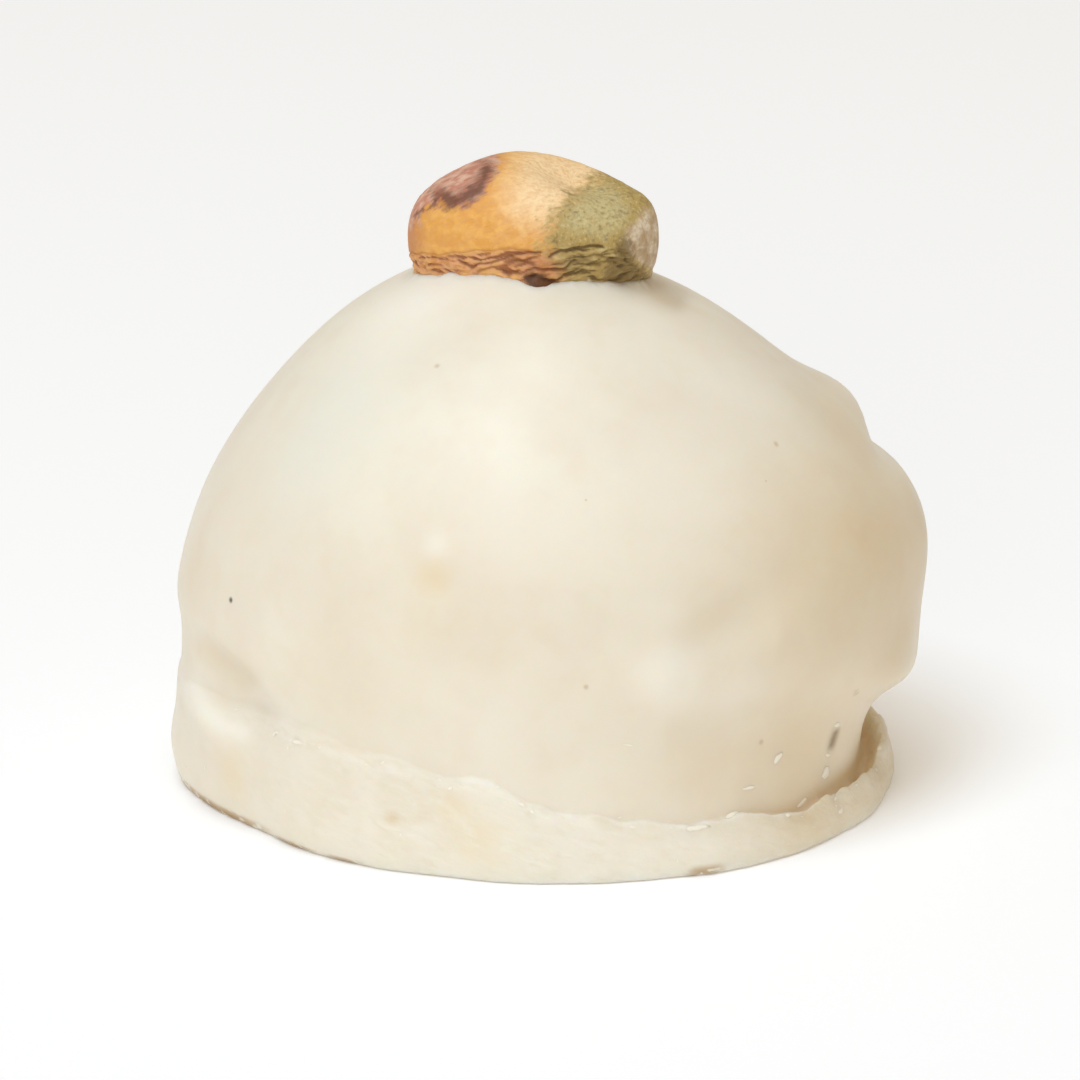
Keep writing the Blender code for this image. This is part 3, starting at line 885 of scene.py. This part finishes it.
def make_nut():
    """The kernel, its lower skin in long torn folds and the rest finely wrinkled."""
    ring = np.linspace(0.0, pi, NUT_RINGS)[:, None]
    turn = (np.arange(NUT_SEGMENTS) * tau / NUT_SEGMENTS)[None, :]
    round_ring = np.sin(ring) * np.cos(turn), np.sin(ring) * np.sin(turn)
    direction = np.stack([-np.cos(ring) + 0 * turn, *round_ring], axis=-1)
    points = direction * (np.array(NUT_HALF_SIZE) + nut_rise(direction)[..., None])
    stand = Matrix.Translation(NUT_CENTRE) @ Matrix.Rotation(NUT_TURN, 4, "Z")
    turned = np.array(stand.to_3x3()).T
    pixels = in_frame(points @ turned + np.array(NUT_CENTRE))

    wander = noise(points, *ACROSS_NOISE)
    pixels = pixels + WANDER_PIXELS * np.stack([wander, noise(points, *DOWN_NOISE)], axis=-1)
    values = {name: depth_inside(pixels, outline) / PIXELS_PER_MM for name, outline in NUT_ZONES.items()}
    for name, (line, half_width) in NUT_STREAKS.items():
        values[name] = (half_width - line_distance(pixels, line)) / PIXELS_PER_MM
    behind = smooth(0.0, 0.4, direction[..., 1])
    low = 1 - smooth(-0.15, 0.15, direction[..., 2] + 0.15 * wander)
    band = (1 - behind) * smooth(-0.10, 0.15, values["band"]) + behind * low
    winding = points + np.array((0.0, 0.0, FOLD_WINDING)) * noise(points, *WINDING_NOISE)[..., None]
    folds = noise(leaning(winding, FOLD_LEAN), *FOLD_NOISE)
    # Painted shade in the fold valleys and creases, darker the deeper the crease.
    crease_shade = 0.90 * band * smooth(0.05, 0.60, -folds)
    relief = band * (FOLD_RELIEF * folds - FOLD_INSET)
    for line, half_width, depth in NUT_CREASES:
        close = (1 - behind) * np.exp(-((line_distance(pixels, line) / half_width) ** 2))
        crease_shade = np.maximum(crease_shade, close * min(1.0, depth / DEEP_CREASE))
        relief -= close * depth * MM
    relief += WRINKLE_RELIEF * (1 - band) * noise(points, *WRINKLE_NOISE)
    fade = np.minimum(1.0, (1 - np.abs(direction[..., :1])) / 0.06)
    points = points + direction * (relief[..., None] * fade)
    points[0] = points[0].mean(axis=0)
    points[-1] = points[-1].mean(axis=0)
    # Painted highlight on the tops of the folds.
    ridge = band * smooth(0.15, 0.75, folds) * (1 - crease_shade)
    values |= {"band": band, "crease_shade": crease_shade, "ridge": ridge}

    values = {name: at_vertices(value, 1) for name, value in values.items()}
    vertices = at_vertices(points, 1)
    faces = grid_faces(NUT_RINGS - 1, NUT_SEGMENTS)
    first_tip = (NUT_RINGS - 2) * NUT_SEGMENTS
    faces += fan(first_tip, list(range(NUT_SEGMENTS))[::-1])
    faces += fan(first_tip + 1, list(range(first_tip - NUT_SEGMENTS, first_tip)))
    piece = add_piece("pistachio_kernel", vertices, faces, values, kernel_paint())
    piece.matrix_world = stand
    placed = vertices @ turned + np.array(NUT_CENTRE)
    return piece, BVHTree.FromPolygons(placed.tolist(), faces)


class Paint:
    """A node material, built node by node. Places are in metres in the piece's own axes."""

    def __init__(self, name):
        self.material = bpy.data.materials.new(name)
        self.material.use_nodes = True
        self.tree = self.material.node_tree
        self.surface = self.tree.nodes["Principled BSDF"]

    def feed(self, socket, value):
        if isinstance(value, bpy.types.NodeSocket):
            self.tree.links.new(value, socket)
        else:
            socket.default_value = value

    def set(self, name, value):
        self.feed(self.surface.inputs[name], value)

    def node(self, kind, inputs, output, **settings):
        """Adds a node with these inputs and settings, and gives one of its outputs."""
        node = self.tree.nodes.new("ShaderNode" + kind)
        for name, value in settings.items():
            setattr(node, name, value)
        for name, value in inputs.items():
            self.feed(node.inputs[name], value)
        return node.outputs[output]

    def place(self):
        return self.node("TexCoord", {}, "Object")

    def kept(self, name):
        """The value kept at the vertices under this name."""
        return self.node("Attribute", {}, "Fac", attribute_name=name)

    def math(self, operation, *values):
        return self.node("Math", dict(enumerate(values)), 0, operation=operation)

    def noise(self, size, detail=2.0, distortion=0.0, stretch=(1, 1, 1), lean=0.0, shift=0.0):
        """Noise from about 0.2 to 0.8 in lumps of this size, leaning down to the right by so many degrees."""
        inputs = {
            "Vector": self.place(),
            "Location": (shift * size * 10.0,) * 3,
            "Rotation": (0.0, radians(lean), 0.0),
            "Scale": tuple(size * part for part in stretch),
        }
        place = self.node("Mapping", inputs, "Vector", vector_type="TEXTURE")
        inputs = {"Vector": place, "Scale": 1.0, "Detail": detail, "Distortion": distortion}
        return self.node("TexNoise", inputs, "Fac")

    def step(self, value, low, high):
        """Goes smoothly from 0 at low to 1 at high."""
        inputs = {"Value": value, "From Min": low, "From Max": high}
        return self.node("MapRange", inputs, "Result", interpolation_type="SMOOTHSTEP")

    def mix(self, share, first, second):
        """Goes from the first colour to the second. The node's colour sockets have no names of their own."""
        ends = [(*end, 1.0) if isinstance(end, tuple) else end for end in (first, second)]
        return self.node("Mix", {0: share, 6: ends[0], 7: ends[1]}, 2, data_type="RGBA")

    def coat(self, colour, *layers):
        """A colour with others over it in turn, each given by its share, full strength and colour."""
        for share, strength, over in layers:
            colour = self.mix(self.math("MULTIPLY", share, strength), colour, over)
        return colour

    def specks(self, balls):
        """1 inside any of these balls, given as middle and radius, with soft edges."""
        depth = -1.0
        for middle, radius in balls:
            away = self.node("VectorMath", {0: self.place(), 1: tuple(middle)}, "Value", operation="DISTANCE")
            inside = self.math("MULTIPLY_ADD", away, -1.0 / radius, 1.0)
            depth = self.math("MAXIMUM", depth, inside)
        return self.step(depth, -0.30, 0.85)

    def bump(self, *heights):
        """Raises the surface by each height in turn, given as a value and its full rise in metres."""
        inputs = {}
        for value, rise in heights:
            inputs |= {"Height": value, "Distance": rise}
            inputs["Normal"] = self.node("Bump", inputs, "Normal")
        self.set("Normal", inputs["Normal"])

    def translucent(self, weight, scale, radius):
        """Light goes into the surface and comes out beside it, red the farthest."""
        self.set("Subsurface Weight", weight)
        self.set("Subsurface Scale", scale)
        self.set("Subsurface Radius", radius)
        self.set("IOR", 1.45)


def chocolate_paint(dark_specks, pinholes):
    """White chocolate: cream with painted warm shade, painted shade and painted light on it, paler and
    streaked on the torn foot.
    """
    paint = Paint("white_chocolate")
    mix, step, coat, kept = paint.mix, paint.step, paint.coat, paint.kept
    foot = kept("foot")
    patches = paint.noise(0.0060, 3.0)
    uneven = paint.noise(0.0024, 2.0, shift=0.3)
    mottled = paint.noise(0.0017, 2.0, shift=0.7)
    torn = paint.noise(0.00042, 3.0, 0.4, (2.6, 1.6, 0.8), STREAK_LEAN, 0.1)
    foot_colour = coat(
        mix(step(uneven, 0.4, 0.65), FOOT_PALE, FOOT_WAXY),
        (step(torn, 0.5, 0.7), 0.32, CHIP_AND_HIGHLIGHT_PALE),
        (step(torn, 0.46, 0.3), 0.18, FOOT_TAN),
    )
    warm_shade_colour = mix(step(uneven, 0.42, 0.62), WARM_SHADE_CREAM, ROSY_CREAM)
    colour = coat(
        mix(step(patches, 0.35, 0.65), CREAM, PALE_CREAM),
        (step(mottled, 0.45, 0.75), 0.1, ROSY_CREAM),
        (step(mottled, 0.52, 0.25), 0.1, COOL_CREAM),
        (foot, 1.0, foot_colour),
        # Painted warm shade on the shaded sides and hollows of the coating.
        (kept("warm_shade"), paint.math("ADD", uneven, 0.5), warm_shade_colour),
        (kept("cool"), 1.0, COOL_CREAM),
        # Painted light and highlights.
        (kept("painted_light"), 1.0, CHIP_AND_HIGHLIGHT_PALE),
        (kept("yellow"), 1.0, YELLOW_CREAM),
        (kept("pale"), step(torn, 0.36, 0.56), CHIP_AND_HIGHLIGHT_PALE),
        # Painted warm tint of shade in the groove.
        (kept("groove_shade"), 0.55, GROOVE_SHADE_CREAM),
        # Brown low along the foot's bottom edge.
        (kept("low_edge_brown"), step(torn, 0.34, 0.5), LOW_EDGE_BROWN),
        # Painted shade in the slot and a pit, and the kernel's painted shadow.
        (kept("painted_shade_brown"), 1.0, SHADE_BROWN),
        (paint.specks(dark_specks), 0.95, SPECK_DARK),
        # Painted shade in the pinholes.
        (paint.specks(pinholes), 0.5, PINHOLE_SHADE),
    )
    paint.set("Base Color", colour)
    rough = paint.math("MULTIPLY_ADD", foot, 0.14, 0.38)
    paint.set("Roughness", paint.math("MULTIPLY_ADD", uneven, 0.12, rough))
    paint.translucent(0.6, 0.0016, (1.0, 0.7, 0.45))
    fine = paint.noise(0.00020, 2.0, 0.2, shift=0.2)
    grain = paint.math("MULTIPLY", fine, paint.math("MULTIPLY_ADD", foot, 0.9, 0.1))
    paint.bump((grain, 0.00003), (paint.math("MULTIPLY", torn, foot), 0.00006))
    return paint.material


def kernel_paint():
    """A pistachio's dry skin: orange to peach, purple at one shoulder and green at the other."""
    paint = Paint("pistachio_skin")
    mix, step, coat, kept = paint.mix, paint.step, paint.coat, paint.kept
    coarse = paint.math("SUBTRACT", paint.noise(0.00060, 4.0, 0.3), 0.5)
    fine = paint.math("SUBTRACT", paint.noise(0.00018, 2.0, shift=0.6), 0.5)
    fibres = paint.math("SUBTRACT", paint.noise(0.00020, 3.0, 0.2, (3.6, 1.0, 1.0), -28.0, 0.4), 0.5)

    def zone(name, blur, ragged=0.5, inset=0.0):
        """How far a place is into a zone: its edge lies this far in, blurred and torn, all in millimetres."""
        torn = paint.math("MULTIPLY_ADD", coarse, ragged, kept(name))
        torn = paint.math("MULTIPLY_ADD", fibres, 0.6 * ragged, torn)
        return step(torn, inset - blur, inset + blur)

    green = zone("green", 0.65, 2.2)
    purple_colour = coat(
        mix(step(coarse, -0.14, 0.14), PURPLE, PINK),
        (step(fibres, 0.02, 0.16), 0.26, DARK_PURPLE),
    )
    green_colour = coat(
        mix(step(coarse, -0.16, 0.16), GREEN, OLIVE),
        (zone("grey_green", 0.45, 1.2), 1.0, GREY_GREEN),
        (step(fibres, -0.08, 0.18), 0.55, OLIVE),
        (step(fine, 0.02, 0.24), 0.4, OLIVE_DARK),
        (step(fine, -0.06, -0.2), 0.55, PALE_GREEN),
        (step(coarse, 0.04, 0.2), 0.35, OLIVE_DARK),
    )
    end_colour = coat(
        mix(step(coarse, -0.24, 0.2), BEIGE, BEIGE_DARK),
        (step(fine, 0.0, 0.16), 0.4, BEIGE_DARK),
    )
    band_colour = coat(
        mix(step(coarse, -0.12, 0.02), RUSSET, ROSE),
        (step(coarse, 0.04, 0.14), 1.0, TAN),
        (green, 1.0, OLIVE),
    )
    crease_shade_colour = mix(green, RED_BROWN, OLIVE_DARK)
    colour = coat(
        mix(step(coarse, -0.15, 0.15), ORANGE, AMBER),
        (zone("peach", 1.3, 1.0), 1.0, PEACH),
        (step(fibres, -0.1, 0.2), 0.4, TAN),
        (step(fine, 0.04, 0.22), 0.3, TAN),
        (zone("blush", 0.45), 0.75, BLUSH),
        (zone("purple", 0.3, 1.2, -0.05), 0.45, BLUSH),
        (zone("purple", 0.24, 1.2, 0.12), 1.0, purple_colour),
        (zone("core", 0.34, 1.0), 0.92, DARK_PURPLE),
        (zone("tail", 0.12, 0.8), 0.7, DARK_PURPLE),
        (green, 1.0, green_colour),
        (zone("end", 0.3, 0.9), 1.0, end_colour),
        (kept("band"), 0.65, band_colour),
        # Painted highlight on the tops of the folds.
        (kept("ridge"), 0.5, mix(green, AMBER, PALE_GREEN)),
        (zone("olive", 0.22, 0.9), 0.58, OLIVE_DARK),
        (zone("rust", 0.2, 0.9), 0.34, RUST),
        # Painted shade in the kernel's creases.
        (step(kept("crease_shade"), 0.1, 1.0), 0.78, crease_shade_colour),
        (zone("knob", 0.18, 0.7), 0.95, BLACK_BROWN),
        (zone("smear", 0.12, 0.6), 0.85, CREAM),
    )
    paint.set("Base Color", colour)
    paint.set("Roughness", 0.6)
    paint.translucent(0.2, 0.0006, (1.0, 0.7, 0.5))
    paint.bump((fibres, 0.00005), (fine, 0.00004))
    return paint.material


def plain_paint(name, colour, roughness, glow=0.0):
    paint = Paint(name)
    paint.set("Base Color", (*colour, 1.0))
    paint.set("Roughness", roughness)
    paint.set("Emission Strength", glow)
    return paint.material


def aim(thing, azimuth, elevation, distance):
    """Stands a camera or a light off from the bonbon, facing it."""
    away = way_out(azimuth, elevation)
    thing.location = CAMERA_AIM + away * distance
    thing.rotation_euler = away.to_track_quat("Z", "Y").to_euler()


def make_camera():
    data = bpy.data.cameras.new("camera")
    data.sensor_width = SENSOR_WIDTH
    data.lens = SENSOR_WIDTH * CAMERA_DISTANCE / VIEW_WIDTH
    data.clip_start = 0.01
    data.clip_end = 10.0
    camera = add_object("camera", data)
    aim(camera, 0.0, CAMERA_ELEVATION, CAMERA_DISTANCE)
    bpy.context.scene.camera = camera


def make_floor():
    bpy.ops.mesh.primitive_circle_add(vertices=128, radius=FLOOR_RADIUS, fill_type="NGON")
    floor = bpy.context.object
    floor.name = "floor"
    floor.data.materials.append(plain_paint("floor", (FLOOR_GREY,) * 3, 0.9, FLOOR_GLOW))


def make_light(name, azimuth, elevation, power, colour):
    data = bpy.data.lights.new(name, "AREA")
    data.energy = power
    data.size = LIGHT_SIZE
    data.color = colour
    aim(add_object(name, data), azimuth, elevation, LIGHT_DISTANCE)


def make_stage():
    make_camera()
    make_floor()
    for name, settings in LIGHTS.items():
        make_light(name, *settings)
    world = bpy.data.worlds.new("world")
    world.use_nodes = True
    background = world.node_tree.nodes["Background"]
    background.inputs["Color"].default_value = SKY_COLOUR
    background.inputs["Strength"].default_value = SKY_STRENGTH
    bpy.context.scene.world = world
    bpy.context.scene.view_settings.view_transform = "Standard"


make_stage()
nut, nut_tree = make_nut()
coating, coating_tree, crest = make_coating(nut_tree)
crumbs = make_crumbs(coating_tree, crest, plain_paint("chocolate_flake", FLAKE_CREAM, 0.5))
for piece, slot in ((nut, "pistachio_skin"), (coating, "white_chocolate"), (crumbs, "white_chocolate")):
    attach(piece, "root")
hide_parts("pistachio")
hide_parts("coating")
